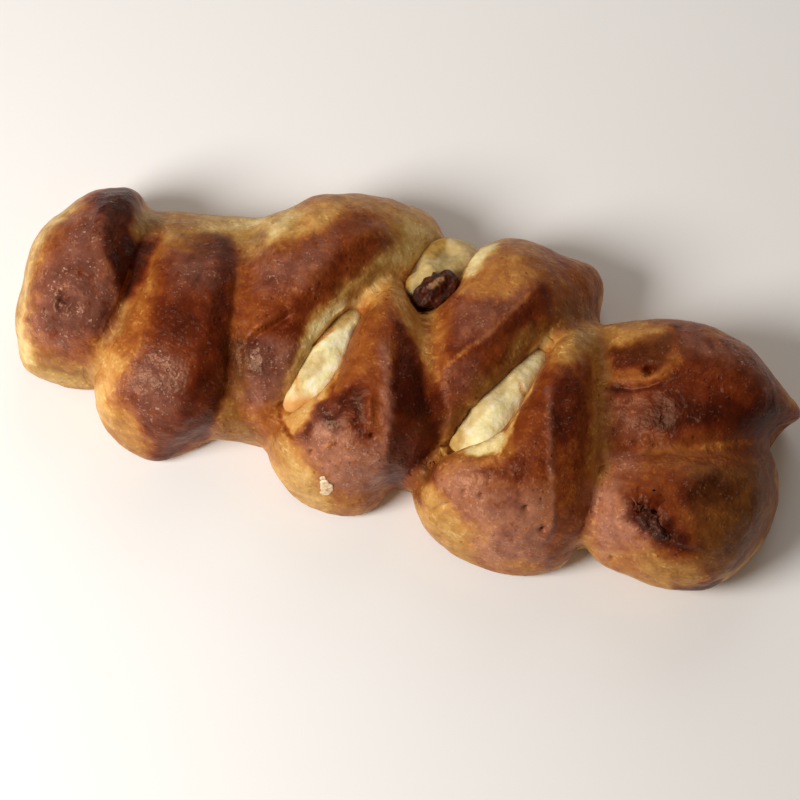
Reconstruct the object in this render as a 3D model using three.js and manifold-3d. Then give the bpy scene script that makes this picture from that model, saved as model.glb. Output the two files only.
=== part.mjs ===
// A plaited sweet bun with a soft cream filling and raisins, about 205 mm long.
// Millimetres, +Z up. The bun lies flat on z = 0, its length runs along X, and the far side is +Y.
import * as THREE from "three";
import { mergeVertices } from "three/addons/utils/BufferGeometryUtils.js";
import Module from "manifold-3d";

const wasm = await Module();
wasm.setup();

// Driving sizes.
const AIR = 0.3; // air between the dough and what is set in it
const TRAY = { length: 300, width: 200, depth: 40 };
const DOUGH_FACETS = { sides: 26, step: 4.2 }; // facets round a strand, and spacing of its rings
const FILLING_FACETS = { sides: 14, step: 7 };
const DOUGH_FLOOR = -4; // strands reach this low before the tray cuts them flat
const WIDEST = 0.4; // height of a strand's widest point, as a share of the way from floor to crest
const UNDER_FLANK = 2.2; // shape of the flanks below that point
const NOSE_RINGS = 8; // extra rings for the rounded ends
const NOSE_BIAS = 0.55; // how far the rings crowd towards the ends

// Strands are upright slices square to a heading (degrees from +X), each
// [along, crest line, crest height, left edge, right edge] in the strand's own turned frame.
// "flanks" shapes the left and right sides: 2 is round, less is ridged, more is boxy.
// "nose" is how far back from each end the strand starts to round off.
const STRANDS = {
  end_lobe: {
    heading: -90,
    slices: [
      [-28.5, -84, 13, -80, -90],
      [-25.5, -83, 20, -77, -94],
      [-20, -82, 28, -74, -98.5],
      [-10, -82, 33, -70.5, -103.5],
      [-0.6, -82, 35, -69.5, -105.5],
      [10, -81, 35, -70.5, -104],
      [19.6, -81, 31, -73, -102],
      [24, -84, 22, -76, -99.5],
      [27, -86, 14, -79, -96],
    ],
    flanks: [1.9, 2.3],
    nose: [4, 6],
  },
  second_strand: {
    heading: -90,
    slices: [
      [-28.5, -62, 10, -46, -77],
      [-24, -61, 17, -42, -80],
      [-16.3, -57, 26, -40, -81],
      [-4.4, -53, 33, -39, -80.5],
      [6.3, -52, 35, -37.5, -79],
      [16.4, -51, 34.5, -38, -79],
      [28.9, -53, 31, -41.5, -77.5],
      [35, -56, 24, -47, -74.5],
      [40, -60, 15, -52, -70],
    ],
    flanks: [1.9, 2.4],
    nose: [5, 6],
  },
  third_strand: {
    heading: -112,
    slices: [
      [-37, -26, 11, -15, -35],
      [-28, -28, 23, -10, -44],
      [-17, -31, 32, -11, -52.5],
      [-5.4, -31, 36, -13, -56],
      [8.4, -31, 36.5, -15, -53],
      [19.3, -31, 34.5, -15, -46.5],
      [29.6, -27, 31, -14, -41],
      [37, -25, 23, -15, -37],
      [43, -26, 13, -19, -33],
    ],
    flanks: [1.9, 2.1],
    nose: [7, 5],
  },
  fourth_strand: {
    heading: -90,
    slices: [
      [-18, -9, 28, -5, -13],
      [-8, -8.5, 34.5, 3, -15.5],
      [0, -7, 37.3, 9, -18],
      [8, -5, 38.2, 13, -18.5],
      [16, -3, 37.5, 14.5, -21],
      [22, -2, 36, 14, -25.5],
      [28, -4, 33.5, 10.5, -30],
      [33, -7, 28, 6, -31],
      [38, -11, 19, 0, -26],
      [41, -12, 13, -4, -21],
    ],
    flanks: [1.8, 2.5],
    nose: [5, 5],
  },
  fifth_strand: {
    heading: -112,
    slices: [
      [-50, 14, 12, 24, 5],
      [-43.5, 13, 22, 29.5, -4],
      [-35, 12.5, 30.5, 30, -8],
      [-28.6, 14, 34, 29.5, -8.5],
      [-13.7, 14, 37, 28.5, -7],
      [0.4, 13, 35.5, 27.5, -3],
      [7.7, 14.5, 32, 27, 4],
      [16.3, 17.5, 24, 25.5, 9],
      [26, 18, 12, 22, 13],
    ],
    flanks: [1.8, 2.1],
    nose: [6, 6],
  },
  sixth_strand: {
    heading: -90,
    slices: [
      [-20, 38.5, 26, 43, 34],
      [-10, 37, 33, 48, 31.5],
      [-1, 36.3, 36.3, 52, 30],
      [10.5, 37.3, 38, 55.5, 27],
      [18, 38.5, 37.5, 56, 22.5],
      [24, 37, 36, 56, 13],
      [30, 35, 33.5, 55, 8.5],
      [35, 33, 29, 53, 10],
      [40.5, 32, 20, 48, 16],
      [44.3, 32, 13, 43, 23],
    ],
    flanks: [1.8, 2.5],
    nose: [5, 5],
  },
  far_end_strand: {
    heading: 0,
    slices: [
      [40, 14, 20, 23, -12],
      [48, 14, 28, 27, -17],
      [58.7, 12.5, 33, 29.5, -19],
      [69.4, 11, 36, 29.5, -17],
      [80, 10, 35, 27, -11],
      [86, 10, 32, 24, -4],
      [91, 11, 27, 19.5, 4],
      [95, 12.5, 21.5, 15.5, 9.5],
      [97.5, 13, 17, 13.5, 12.3],
    ],
    flanks: [2.2, 1.9],
    nose: [7, 2],
  },
  near_end_strand: {
    heading: 0,
    slices: [
      [48, -22, 20, -8, -33],
      [58, -22, 29, -5, -36],
      [67, -20, 31.5, -3, -37],
      [77, -18.5, 33, -0.5, -37.5],
      [84, -17.5, 31.5, 2, -36],
      [90, -15, 27.5, 4, -31.5],
      [94, -12.5, 20.5, 3, -25],
      [97.5, -11.5, 13, 0, -20],
    ],
    flanks: [2.1, 2.2],
    nose: [8, 4],
  },
  middle: {
    heading: 0,
    slices: [
      [-100, 0, 16, 14, -16],
      [-78, 0, 24, 22.5, -24],
      [-60, 0, 25.5, 26, -28],
      [-46, 0, 26, 28.5, -32],
      [-20, 0, 26, 34, -30],
      [2, 0, 26, 35.5, -29],
      [22, 0, 26, 32, -31],
      [41, 0, 26, 25, -32],
      [66, 0, 26, 23, -30],
      [92, 0, 20, 12, -16],
    ],
    flanks: [2.6, 2.6],
    nose: [8, 8],
  },
};

// The filling: a ribbon along the middle, and a tongue of it standing in each cleft of the plait.
const FILLING_RIBBON = {
  heading: 0,
  slices: [
    [-58, 0, 16, 6, -6],
    [-30, 0, 18, 10, -10],
    [0, 0, 19, 25, -12],
    [30, 0, 18, 10, -10],
    [58, 0, 16, 6, -6],
  ],
  flanks: [2, 2],
  nose: [8, 8],
  floor: 8,
  facets: FILLING_FACETS,
};
const FILLING_TONGUES = [
  {
    heading: -118,
    slices: [
      [0, -19, 26, -16, -21.5],
      [10, -16, 28.5, -8, -21.5],
      [18, -13.5, 28.5, -5, -20],
      [25, -12.3, 27.5, -5, -18],
      [34, -11.5, 23, -7, -15],
    ],
    flanks: [2.2, 2.2],
    nose: [5, 5],
    floor: 13,
    facets: FILLING_FACETS,
  },
  {
    heading: -122,
    slices: [
      [-26, 21.5, 26, 24, 19],
      [-14, 23.5, 29, 29, 20],
      [-4, 25.5, 29.5, 35, 19],
      [3, 26, 28.5, 36, 19],
      [11, 26, 24, 30, 22],
    ],
    flanks: [2.2, 2.2],
    nose: [5, 5],
    floor: 13,
    facets: FILLING_FACETS,
  },
  {
    heading: -113,
    slices: [
      [-35, -9, 15, -4, -13],
      [-28.6, -10, 22.5, -4, -16],
      [-20, -10.5, 26.5, -4, -16],
      [-10, -9, 27.5, -4, -13],
      [-4, -9, 24, -6, -12],
    ],
    flanks: [2.2, 2.2],
    nose: [5, 5],
    floor: 13,
    facets: FILLING_FACETS,
  },
];

// Raisins: the big one wedged in the far cleft, and one baked into the near end's crust.
const RAISINS = {
  raisin_1: { middle: [0.5, 16.4, 26.5], size: [14, 7.4, 6.5], heading: 55, lean: 0, wrinkles: 5 },
  raisin_2: { middle: [67, -28.4, 28.2], size: [13.5, 6.4, 5.6], heading: -30, lean: 16, wrinkles: 4 },
};
const RAISIN_SIDES = 22; // sides of a raisin's cross-section
const WRINKLE_DEPTH = 0.09; // of a raisin's half width
const WRINKLE_TWIST = 2.2; // radians from a raisin's middle to its end
const PIT = { middle: [57, 8, 34.2], radius: 1.7 }; // a burst bubble in the far end strand

const signedPower = (value, power) => Math.sign(value) * Math.abs(value) ** power;

const smoothCurve = (points) => new THREE.CatmullRomCurve3(points, false, "catmullrom", 0.5);

// A closed solid lofted through the slices; "grow" thickens it all over.
function strandSolid(strand, grow = 0) {
  const { heading, slices, flanks, nose, floor = DOUGH_FLOOR } = strand;
  const { sides, step } = strand.facets ?? DOUGH_FACETS;
  const crestLine = smoothCurve(slices.map((slice) => new THREE.Vector3(slice[0], slice[1], slice[2])));
  const edges = smoothCurve(slices.map((slice) => new THREE.Vector3(slice[3], slice[4], 0)));
  const start = slices[0][0] - grow;
  const length = slices[slices.length - 1][0] - slices[0][0] + 2 * grow;
  const rings = Math.round(length / step) + NOSE_RINGS;
  const turn = new THREE.Matrix4().makeRotationZ(THREE.MathUtils.degToRad(heading));
  const positions = [];
  const faces = [];
  const place = (along, across, height) => {
    positions.push(...new THREE.Vector3(along, across, height).applyMatrix4(turn).toArray());
  };
  for (let ring = 0; ring <= rings; ring++) {
    const even = ring / rings;
    const eased = (1 - Math.cos(Math.PI * even)) / 2; // closer rings at both ends
    const share = THREE.MathUtils.lerp(even, eased, NOSE_BIAS);
    const crest = crestLine.getPoint(share);
    const edge = edges.getPoint(share);
    const stretch = (crest.x - slices[0][0]) / (length - 2 * grow);
    const along = start + stretch * length;
    const toStart = Math.min(1, (along - start) / nose[0]);
    const toEnd = Math.min(1, (start + length - along) / nose[1]);
    const swell = Math.sqrt(1 - (1 - toStart) ** 2) * Math.sqrt(1 - (1 - toEnd) ** 2);
    const waist = floor + WIDEST * (crest.z - floor);
    if (ring === 0 || ring === rings) {
      place(along, crest.y, waist);
      continue;
    }
    for (let side = 0; side < sides; side++) {
      const angle = (2 * Math.PI * side) / sides;
      const [across, up] = [Math.cos(angle), Math.sin(angle)];
      const power = 2 / (up < 0 ? UNDER_FLANK : flanks[across > 0 ? 0 : 1]);
      const span = Math.abs(edge.getComponent(across > 0 ? 0 : 1) - crest.y) + grow;
      const rise = Math.abs((up > 0 ? crest.z : floor) - waist) + grow;
      place(
        along,
        crest.y + signedPower(across, power) * span * swell,
        waist + signedPower(up, power) * rise * swell,
      );
    }
  }
  const first = (ring) => 1 + (ring - 1) * sides;
  const lastPole = positions.length / 3 - 1;
  for (let side = 0; side < sides; side++) {
    const next = (side + 1) % sides;
    faces.push(0, first(1) + side, first(1) + next);
    faces.push(lastPole, first(rings - 1) + next, first(rings - 1) + side);
    for (let ring = 1; ring < rings - 1; ring++) {
      const [a, b] = [first(ring) + side, first(ring) + next];
      const [c, d] = [first(ring + 1) + side, first(ring + 1) + next];
      faces.push(a, c, b, b, c, d);
    }
  }
  return solidFrom(positions, faces);
}

function solidFrom(positions, faces) {
  const solid = new wasm.Manifold(
    new wasm.Mesh({
      numProp: 3,
      vertProperties: new Float32Array(positions),
      triVerts: new Uint32Array(faces),
    }),
  );
  if (solid.volume() > 0) return solid;
  const turned = [];
  for (let i = 0; i < faces.length; i += 3) turned.push(faces[i], faces[i + 2], faces[i + 1]);
  return solidFrom(positions, turned);
}

// A three.js geometry, placed by a matrix, as a solid.
function solidOf(geometry, place = new THREE.Matrix4()) {
  const bare = geometry.clone();
  bare.deleteAttribute("normal");
  bare.deleteAttribute("uv");
  const merged = mergeVertices(bare.applyMatrix4(place), 1e-3);
  return solidFrom(Array.from(merged.attributes.position.array), Array.from(merged.index.array));
}

function geometryOf(solid) {
  const { vertProperties, triVerts, numProp } = solid.getMesh();
  const count = vertProperties.length / numProp;
  const positions = new Float32Array(count * 3);
  for (let i = 0; i < count; i++) positions.set(vertProperties.subarray(i * numProp, i * numProp + 3), i * 3);
  const geometry = new THREE.BufferGeometry();
  geometry.setAttribute("position", new THREE.BufferAttribute(positions, 3));
  geometry.setIndex(new THREE.BufferAttribute(new Uint32Array(triVerts), 1));
  geometry.computeVertexNormals();
  return geometry;
}

const joined = (solids) => solids.reduce((all, solid) => all.add(solid));

// A raisin: a squashed ball, its skin drawn into wrinkles along its length.
function raisinSolid({ middle, size, heading, lean, wrinkles }, grow = 0) {
  const ball = new THREE.SphereGeometry(1, RAISIN_SIDES, RAISIN_SIDES / 2);
  ball.rotateZ(Math.PI / 2);
  const spots = ball.attributes.position;
  const spot = new THREE.Vector3();
  const half = new THREE.Vector3(...size).multiplyScalar(0.5).addScalar(grow);
  for (let i = 0; i < spots.count; i++) {
    spot.fromBufferAttribute(spots, i);
    const around = Math.atan2(spot.z, spot.y);
    const depth = WRINKLE_DEPTH * Math.hypot(spot.y, spot.z);
    const fold = 1 + depth * Math.sin(wrinkles * around + WRINKLE_TWIST * spot.x);
    spots.setXYZ(i, spot.x * half.x, spot.y * half.y * fold, spot.z * half.z * fold);
  }
  const turned = new THREE.Euler(THREE.MathUtils.degToRad(lean), 0, THREE.MathUtils.degToRad(heading), "ZYX");
  const place = new THREE.Matrix4().makeRotationFromEuler(turned).setPosition(...middle);
  return solidOf(ball, place);
}

// The tray cuts every strand flat underneath.
const tray = solidOf(
  new THREE.BoxGeometry(TRAY.length, TRAY.width, TRAY.depth),
  new THREE.Matrix4().makeTranslation(0, 0, -TRAY.depth / 2),
);

// The fourth and sixth strands lie over the filling, so its tongues are trimmed back from them.
const { fourth_strand: overFirst, sixth_strand: overSecond, ...others } = STRANDS;
const over = (grow) => joined([strandSolid(overFirst, grow), strandSolid(overSecond, grow)]);
const tongues = (grow) => joined(FILLING_TONGUES.map((tongue) => strandSolid(tongue, grow)));
const pit = solidOf(
  new THREE.SphereGeometry(PIT.radius, 16, 12),
  new THREE.Matrix4().makeTranslation(...PIT.middle),
);

const dough = joined(Object.values(others).map((strand) => strandSolid(strand)))
  .subtract(tongues(AIR))
  .add(over(0))
  .subtract(strandSolid(FILLING_RIBBON, AIR))
  .subtract(raisinSolid(RAISINS.raisin_1, AIR))
  .subtract(raisinSolid(RAISINS.raisin_2, AIR))
  .subtract(pit)
  .subtract(tray);

const filling = tongues(0)
  .subtract(over(AIR))
  .add(strandSolid(FILLING_RIBBON))
  .subtract(raisinSolid(RAISINS.raisin_1, AIR));

const bun = new THREE.Group();
const CRUST = new THREE.MeshStandardMaterial({ color: 0xa8642c, roughness: 0.45, metalness: 0 });
const CREAM = new THREE.MeshStandardMaterial({ color: 0xead9a0, roughness: 0.35, metalness: 0 });
const RAISIN = new THREE.MeshStandardMaterial({ color: 0x2e1512, roughness: 0.4, metalness: 0 });

function addPiece(name, solid, material) {
  const mesh = new THREE.Mesh(geometryOf(solid), material);
  mesh.name = name;
  bun.add(mesh);
}

addPiece("braided_dough", dough, CRUST);
addPiece("cream_filling", filling, CREAM);
for (const name of Object.keys(RAISINS)) addPiece(name, raisinSolid(RAISINS[name]), RAISIN);

// The finished bun is centred on the origin, its underside on z = 0.
const bounds = new THREE.Box3().setFromObject(bun);
const middle = bounds.getCenter(new THREE.Vector3());
for (const mesh of bun.children) mesh.geometry.translate(-middle.x, -middle.y, -bounds.min.z);

export default bun;
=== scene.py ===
import math

import bpy
import numpy as np
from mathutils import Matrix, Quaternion, Vector, noise


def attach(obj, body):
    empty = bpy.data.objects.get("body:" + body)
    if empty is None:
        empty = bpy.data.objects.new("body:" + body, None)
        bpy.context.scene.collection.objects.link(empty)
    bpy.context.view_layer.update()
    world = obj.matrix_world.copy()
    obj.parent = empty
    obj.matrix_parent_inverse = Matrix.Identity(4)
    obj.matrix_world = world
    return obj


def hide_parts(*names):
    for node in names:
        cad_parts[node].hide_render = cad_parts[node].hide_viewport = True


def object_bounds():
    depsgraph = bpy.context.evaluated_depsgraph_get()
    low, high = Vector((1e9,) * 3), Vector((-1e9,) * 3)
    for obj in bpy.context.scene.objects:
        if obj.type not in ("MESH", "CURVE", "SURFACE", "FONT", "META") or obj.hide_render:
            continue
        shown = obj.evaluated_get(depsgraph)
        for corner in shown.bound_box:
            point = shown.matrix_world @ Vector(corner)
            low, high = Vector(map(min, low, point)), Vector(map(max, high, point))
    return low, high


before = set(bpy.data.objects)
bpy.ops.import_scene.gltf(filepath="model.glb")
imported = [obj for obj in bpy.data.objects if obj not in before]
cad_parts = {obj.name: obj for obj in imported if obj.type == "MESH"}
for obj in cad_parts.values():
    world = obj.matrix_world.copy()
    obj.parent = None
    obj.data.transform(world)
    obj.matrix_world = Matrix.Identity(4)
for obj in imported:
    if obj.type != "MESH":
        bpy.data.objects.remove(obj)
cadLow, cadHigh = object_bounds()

mm = 0.001

# The photograph's view: 16 degrees round from the front and 70 degrees up.
photoView = {
    "turn": math.radians(16),
    "rise": math.radians(70),
    "distance": 600 * mm,
    "pixelSize": 0.254 * mm,  # on the bun, at the point aimed at
    "aim": Vector((3.94, -5.92, 15)) * mm,
    "aimPixel": (410, 384),
    "photoWidth": 800,
    "sensor": 36,
    "nearest": 10 * mm,  # the camera sees nothing closer
}


# Socket maths, so that a pattern can be written as a formula.
class Wire:
    def __init__(self, graph, socket):
        self.graph = graph
        self.socket = socket

    def maths(self, operation, *others, clamp=False):
        settings = {"operation": operation, "use_clamp": clamp}
        return self.graph.add("ShaderNodeMath", settings, dict(enumerate((self, *others))))

    def __add__(self, other):
        return self.maths("ADD", other)

    def __radd__(self, other):
        return self.maths("ADD", other)

    def __sub__(self, other):
        return self.maths("SUBTRACT", other)

    def __rsub__(self, other):
        return (self * -1).maths("ADD", other)

    def __mul__(self, other):
        return self.maths("MULTIPLY", other)

    def __rmul__(self, other):
        return self.maths("MULTIPLY", other)

    def clamped(self):
        return self.maths("ADD", 0, clamp=True)

    def between(self, low, high):
        # 0 at low, 1 at high, eased
        settings = {"interpolation_type": "SMOOTHSTEP"}
        return self.graph.add("ShaderNodeMapRange", settings, {"Value": self, "From Min": low, "From Max": high})


class Graph:
    def __init__(self, name):
        self.material = bpy.data.materials.new(name)
        self.material.use_nodes = True
        self.tree = self.material.node_tree
        self.tree.nodes.clear()

    def add(self, kind, settings=None, inputs=None, output=0):
        node = self.tree.nodes.new(kind)
        for name, value in (settings or {}).items():
            if name == "stops":
                self.setStops(node.color_ramp, value)
            else:
                setattr(node, name, value)
        for name, value in (inputs or {}).items():
            if isinstance(value, Wire):
                self.tree.links.new(value.socket, node.inputs[name])
            else:
                node.inputs[name].default_value = value
        return Wire(self, node.outputs[output]) if node.outputs else None

    def setStops(self, ramp, stops):
        while len(ramp.elements) < len(stops):
            ramp.elements.new(0.5)
        for element, (place, colour) in zip(ramp.elements, stops):
            element.position = place
            element.color = (*linear(*colour), 1)

    def place(self):
        return self.add("ShaderNodeTexCoord", output="Object")

    def attribute(self, name):
        return self.add("ShaderNodeAttribute", {"attribute_name": name}, output="Fac")

    def noise(self, size, detail=3, roughness=0.55):
        # size in millimetres
        inputs = {"Vector": self.place(), "Scale": 1 / (size * mm), "Detail": detail, "Roughness": roughness}
        return self.add("ShaderNodeTexNoise", None, inputs)

    def cells(self, size):
        inputs = {"Vector": self.place(), "Scale": 1 / (size * mm)}
        return self.add("ShaderNodeTexVoronoi", None, inputs, output="Distance")

    def ramp(self, value, stops):
        return self.add("ShaderNodeValToRGB", {"stops": stops}, {"Fac": value})

    def blend(self, share, first, second):
        return self.add("ShaderNodeMix", {"data_type": "RGBA"}, {0: share, 6: first, 7: second}, output=2)

    def bump(self, height, strength, distance):
        return self.add("ShaderNodeBump", None, {"Height": height, "Strength": strength, "Distance": distance * mm})

    def finish(self, inputs):
        shader = self.add("ShaderNodeBsdfPrincipled", None, inputs)
        self.add("ShaderNodeOutputMaterial", None, {"Surface": shader})
        return self.material


def linear(red, green, blue):
    # a colour as a screen shows it, 0 to 255, as the shader wants it
    return tuple(((c / 255 + 0.055) / 1.055) ** 2.4 if c > 10 else c / 3295 for c in (red, green, blue))


# The camera and where a photograph's pixel meets a piece.
def viewAxes():
    turn, rise = photoView["turn"], photoView["rise"]
    back = Vector((math.sin(turn) * math.cos(rise), -math.cos(turn) * math.cos(rise), math.sin(rise)))
    right = Vector((math.cos(turn), math.sin(turn), 0))
    return back, right, back.cross(right)


viewBack, viewRight, viewUp = viewAxes()
viewLevel = Vector((-viewRight.y, viewRight.x, 0))  # away from the camera, along the table
viewMiddle = photoView["photoWidth"] / 2
viewSpread = photoView["pixelSize"] / photoView["distance"]


def makeCamera():
    aside = (photoView["aimPixel"][0] - viewMiddle) * photoView["pixelSize"]
    above = (viewMiddle - photoView["aimPixel"][1]) * photoView["pixelSize"]
    data = bpy.data.cameras.new("photoCamera")
    data.sensor_width = photoView["sensor"]
    frameWidth = photoView["photoWidth"] * photoView["pixelSize"]
    data.lens = photoView["sensor"] * photoView["distance"] / frameWidth
    data.clip_start = photoView["nearest"]
    camera = bpy.data.objects.new("photoCamera", data)
    bpy.context.scene.collection.objects.link(camera)
    camera.location = photoView["aim"] + viewBack * photoView["distance"] - viewRight * aside - viewUp * above
    camera.rotation_mode = "QUATERNION"
    camera.rotation_quaternion = (-viewBack).to_track_quat("-Z", "Y")
    bpy.context.scene.camera = camera
    print("camera made")


def surfaceAt(piece, pixel):
    # the point that the pixel shows, and the surface's direction there
    aim = -viewBack + viewRight * (pixel[0] - viewMiddle) * viewSpread + viewUp * (viewMiddle - pixel[1]) * viewSpread
    start = bpy.context.scene.camera.location
    hit, spot, normal, face = piece.ray_cast(start, aim.normalized())
    return (spot, normal) if hit else (None, None)


def pixelsOf(spots):
    # where the photograph's camera sees each point
    away = spots - np.array(bpy.context.scene.camera.location)
    reach = -(away @ np.array(viewBack)) * viewSpread
    across = away @ np.array(viewRight) / reach
    rising = away @ np.array(viewUp) / reach
    return np.stack([viewMiddle + across, viewMiddle - rising], axis=1)


# Pieces taken from model.glb: a merged copy, remeshed finely and smoothed.
def select(piece):
    bpy.ops.object.select_all(action="DESELECT")
    piece.select_set(True)
    bpy.context.view_layer.objects.active = piece


def mergedCopy(node, name):
    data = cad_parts[node].data.copy()
    data.materials.clear()
    piece = bpy.data.objects.new(name, data)
    bpy.context.scene.collection.objects.link(piece)
    select(piece)
    bpy.ops.object.mode_set(mode="EDIT")
    bpy.ops.mesh.select_all(action="SELECT")
    bpy.ops.mesh.remove_doubles(threshold=0.001 * mm)
    bpy.ops.object.mode_set(mode="OBJECT")
    return piece


def modify(piece, kind, **settings):
    select(piece)
    modifier = piece.modifiers.new(kind.lower(), kind)
    for name, value in settings.items():
        setattr(modifier, name, value)
    bpy.ops.object.modifier_apply(modifier=modifier.name)


def modifyWhere(piece, chosen, kind, **settings):
    # the same on the chosen points alone
    group = piece.vertex_groups.new(name="chosen")
    group.add([int(order) for order in np.nonzero(chosen)[0]], 1.0, "ADD")
    modify(piece, kind, vertex_group="chosen", **settings)
    piece.vertex_groups.clear()


def soften(piece, rounds):
    modify(piece, "SMOOTH", factor=0.5, iterations=rounds)


def remeshed(piece, voxel, softenings):
    modify(piece, "REMESH", mode="VOXEL", voxel_size=voxel, use_smooth_shade=True)
    soften(piece, softenings)


def rounded(piece, rounds, crease, batches=4, leastPull=0.01):
    # rounds the facets off and keeps the creases, where neighbours' normals turn by more than the crease angle
    ends = np.zeros(len(piece.data.edges) * 2, np.int32)
    piece.data.edges.foreach_get("vertices", ends)
    first, second = ends.reshape(-1, 2).T
    for batch in range(batches):
        spots = pointsOf(piece)
        count = len(spots)
        normals = normalsOf(piece)
        turn = np.arccos(np.clip(np.sum(normals[first] * normals[second], axis=1), -1, 1))
        pull = np.exp(-((turn / crease) ** 2)) + leastPull
        total = np.bincount(first, pull, count) + np.bincount(second, pull, count)
        for step in range(rounds // batches):
            for axis in range(3):
                values = spots[:, axis]
                sums = np.bincount(first, pull * values[second], count)
                sums += np.bincount(second, pull * values[first], count)
                values += 0.5 * (sums / total - values)
        movePoints(piece, spots)


def crisped(piece, share, softenings):
    # pushes folds out and creases in, away from a much softened copy
    spots = pointsOf(piece)
    soften(piece, softenings)
    movePoints(piece, spots + (spots - pointsOf(piece)) * share)


def pointsOf(piece):
    spots = np.zeros(len(piece.data.vertices) * 3)
    piece.data.vertices.foreach_get("co", spots)
    return spots.reshape(-1, 3)


def normalsOf(piece):
    normals = np.zeros(len(piece.data.vertices) * 3, np.float32)
    piece.data.vertices.foreach_get("normal", normals)
    return normals.reshape(-1, 3).astype(float)


def facing(piece):
    # 1 where the surface faces the camera, negative where it faces away
    return normalsOf(piece) @ np.array(viewBack)


def movePoints(piece, spots):
    piece.data.vertices.foreach_set("co", spots.ravel())
    piece.data.update()


def storeAttribute(piece, name, values):
    attribute = piece.data.attributes.new(name, "FLOAT", "POINT")
    attribute.data.foreach_set("value", values.astype(np.float32))


def triangles(piece):
    return sum(len(face.vertices) - 2 for face in piece.data.polygons)


def eased(values, low, high):
    share = np.clip((values - low) / (high - low), 0, 1)
    return share * share * (3 - 2 * share)


def hump(distance, reach):
    # 1 at the middle, falling away smoothly
    return np.exp(-((distance / reach) ** 2))


def noiseAt(spots, size, seed):
    offset = Vector((seed * 3.1, seed * 1.7, seed * 2.3))
    return np.array([noise.noise(Vector(spot) / size + offset) for spot in spots])


def wandered(spots, reach, size, seed):
    # the same points pushed about a little, so that an area's edge wanders
    pushes = [noiseAt(spots, size, seed + axis) for axis in range(3)]
    return spots + np.stack(pushes, axis=1) * reach


# Lines and areas, given by pixels of the photograph.
def legGap(places, start, end):
    # the distance to a straight leg, and how far along it, 0 to 1
    start, end = np.array(start, float), np.array(end, float)
    leg = end - start
    share = np.clip((places - start) @ leg / max(leg @ leg, 1e-12), 0, 1)
    return np.linalg.norm(places - start - share[:, None] * leg, axis=1), share


def lineGap(pixels, corners):
    return np.min([legGap(pixels, start, end)[0] for start, end in zip(corners, corners[1:])], axis=0)


def areaShare(pixels, corners, feather):
    # 1 inside a closed outline and 0 outside it, over a soft edge
    inside = np.zeros(len(pixels), bool)
    for start, end in zip(corners, corners[1:] + corners[:1]):
        crosses = (start[1] > pixels[:, 1]) != (end[1] > pixels[:, 1])
        rise = (end[1] - start[1]) or 1e-9
        inside ^= crosses & (pixels[:, 0] < start[0] + (pixels[:, 1] - start[1]) * (end[0] - start[0]) / rise)
    gap = lineGap(pixels, corners + corners[:1])
    return eased(np.where(inside, gap, -gap), -feather, feather)


def strokePath(piece, pixels):
    # the line laid over the surface
    found = [surfaceAt(piece, pixel)[0] for pixel in pixels]
    path = [Vector(spot) for spot in found if spot is not None]
    if len(path) < len(pixels):
        print("a stroke misses the piece at", [pixel for pixel, spot in zip(pixels, found) if spot is None])
    return path if len(path) != 1 else path * 2


def strokeDistance(spots, path):
    # distance to the path, and how far along it, 0 to 1
    nearest = np.full(len(spots), 1e9)
    along = np.zeros(len(spots))
    lengths = [(end - start).length for start, end in zip(path, path[1:])]
    total = max(sum(lengths), 1e-9)
    walked = 0
    for start, end, length in zip(path, path[1:], lengths):
        distance, share = legGap(spots, start, end)
        closer = distance < nearest
        nearest[closer] = distance[closer]
        along[closer] = ((walked + share * length) / total)[closer]
        walked += length
    return nearest, along


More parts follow.
